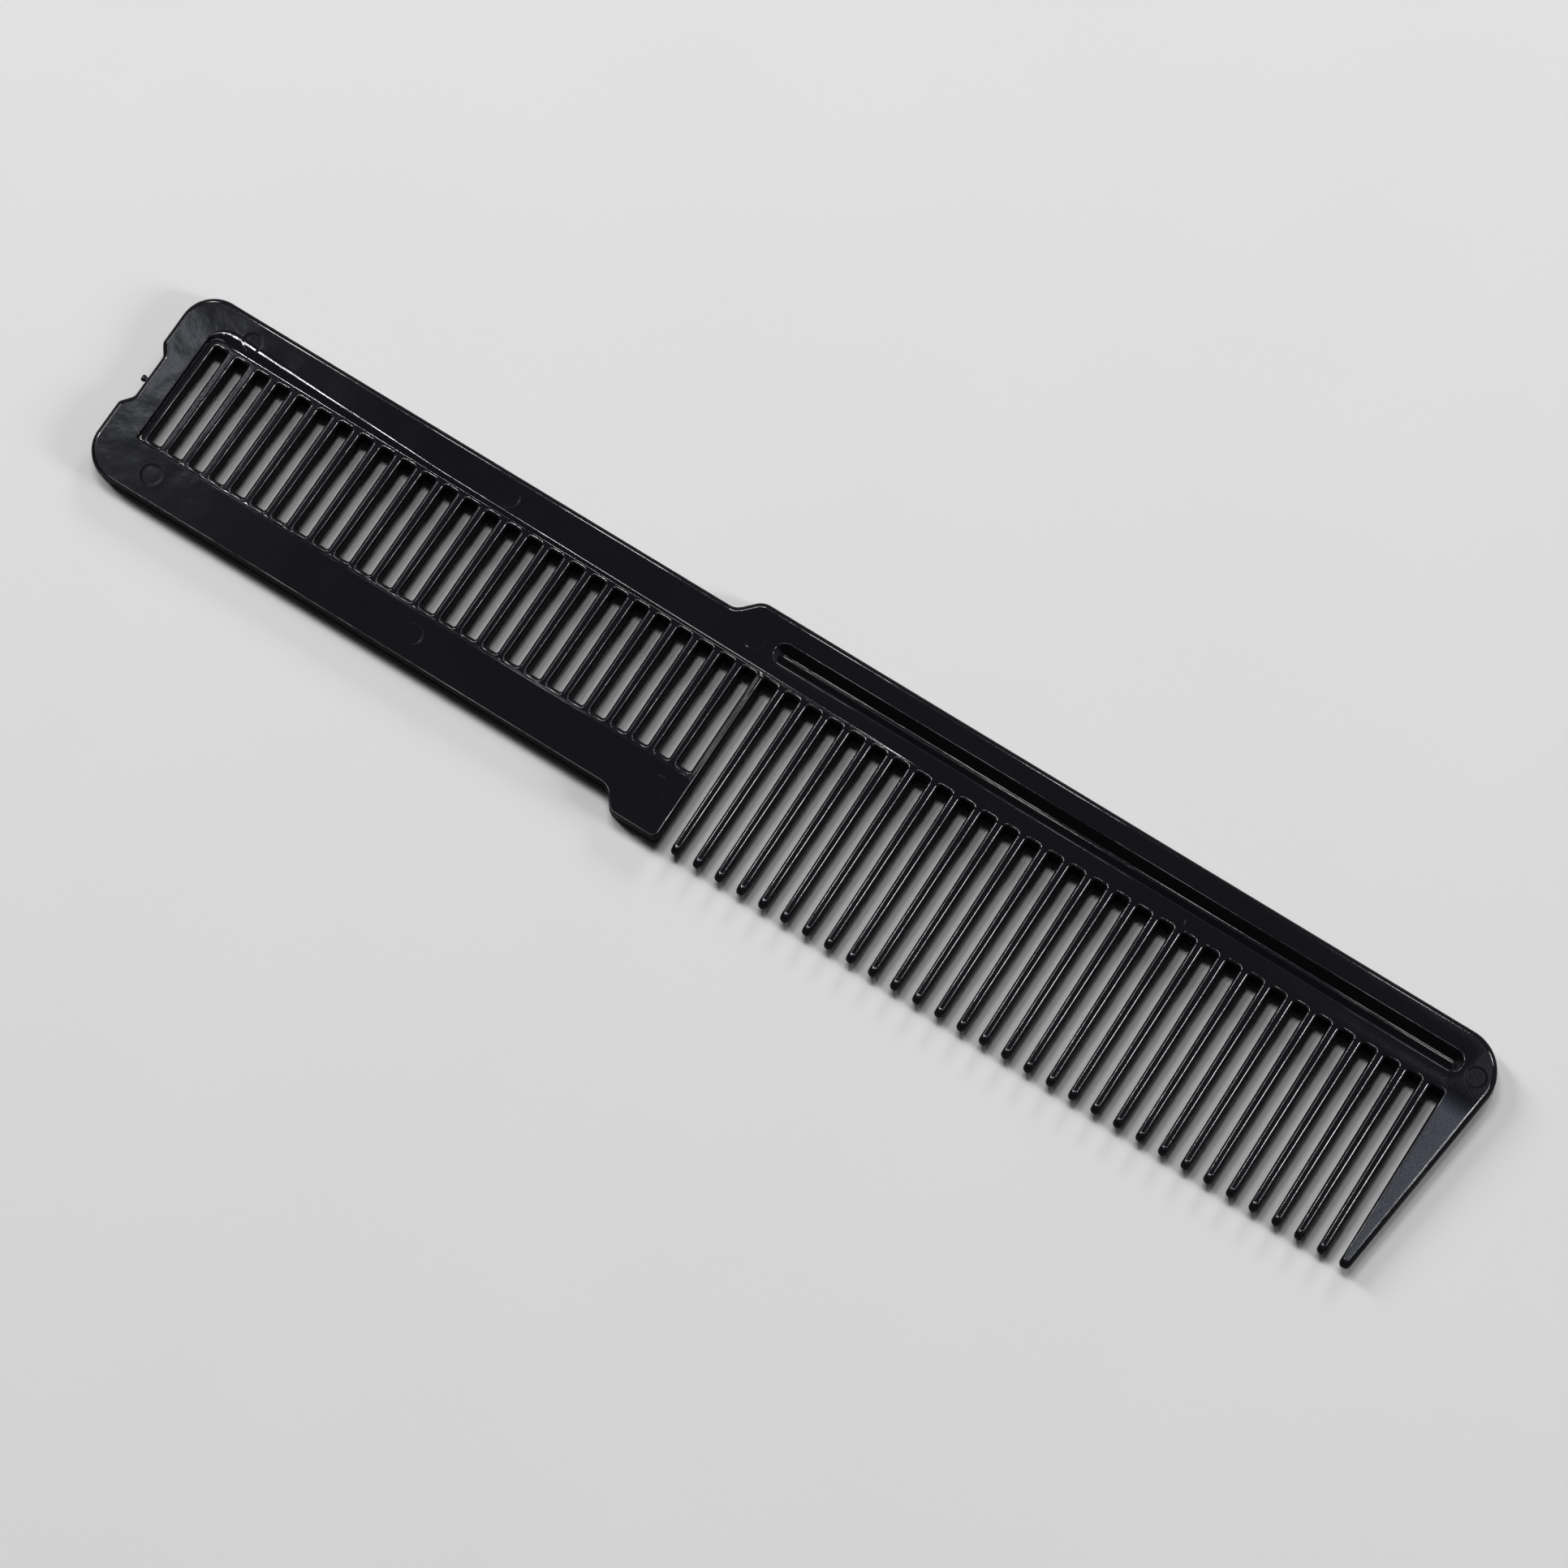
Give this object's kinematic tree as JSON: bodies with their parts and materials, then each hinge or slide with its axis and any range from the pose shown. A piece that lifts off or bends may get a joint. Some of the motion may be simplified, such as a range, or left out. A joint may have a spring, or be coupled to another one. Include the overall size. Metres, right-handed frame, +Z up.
{
  "type": "clipper comb",
  "caption": "Long flat clipper comb: one half has slots closed by a lower bar, the other has free tapering teeth and a broad end tooth, and a groove runs along the spine.",
  "frame": {"origin": "middle of the comb's bounding box, on the plane that it rests on", "axes": "+X along the comb from the closed slots to the free teeth, +Y from the tooth tips to the spine, +Z up out of the upper face"},
  "size_m": [0.203, 0.0354, 0.003],
  "materials": {
    "black_plastic": "gloss"
  },
  "bodies": {
    "root": {"comb": "black_plastic"}
  },
  "joints": []
}
